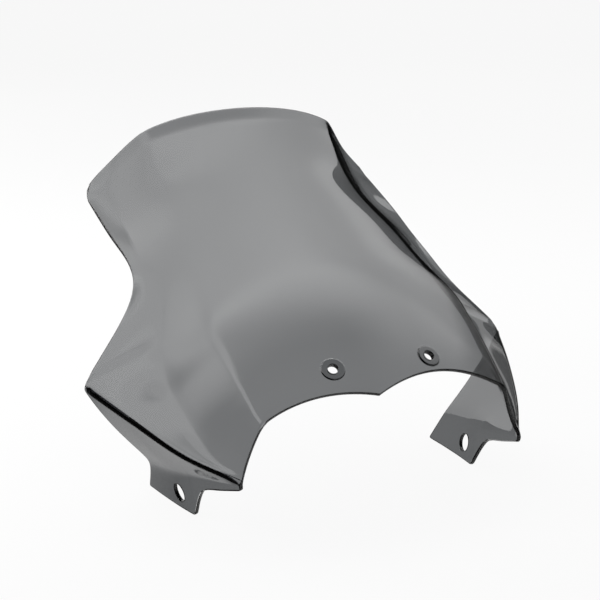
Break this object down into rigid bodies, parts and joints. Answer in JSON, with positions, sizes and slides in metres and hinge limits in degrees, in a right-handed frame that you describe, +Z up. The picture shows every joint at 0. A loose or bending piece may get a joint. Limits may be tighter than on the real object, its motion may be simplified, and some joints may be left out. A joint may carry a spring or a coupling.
{
  "type": "motorcycle windshield screen",
  "caption": "Smoke-tinted clear motorcycle windshield screen, moulded in one piece with a raked panel, lipped edges, flared wings and side mounting tabs with holes.",
  "frame": {"origin": "halfway between the centres of the two front holes, in the middle of the sheet", "axes": "+X across the screen to the side of the right front hole as seen from the front, +Y to the back of the motorcycle, +Z up; the main panel rakes back at 34 degrees above the horizontal"},
  "size_m": [0.4338, 0.3454, 0.3279],
  "materials": {
    "smoke_clear": "gloss"
  },
  "bodies": {
    "root": {"screen_pane": "smoke_clear"}
  },
  "joints": []
}
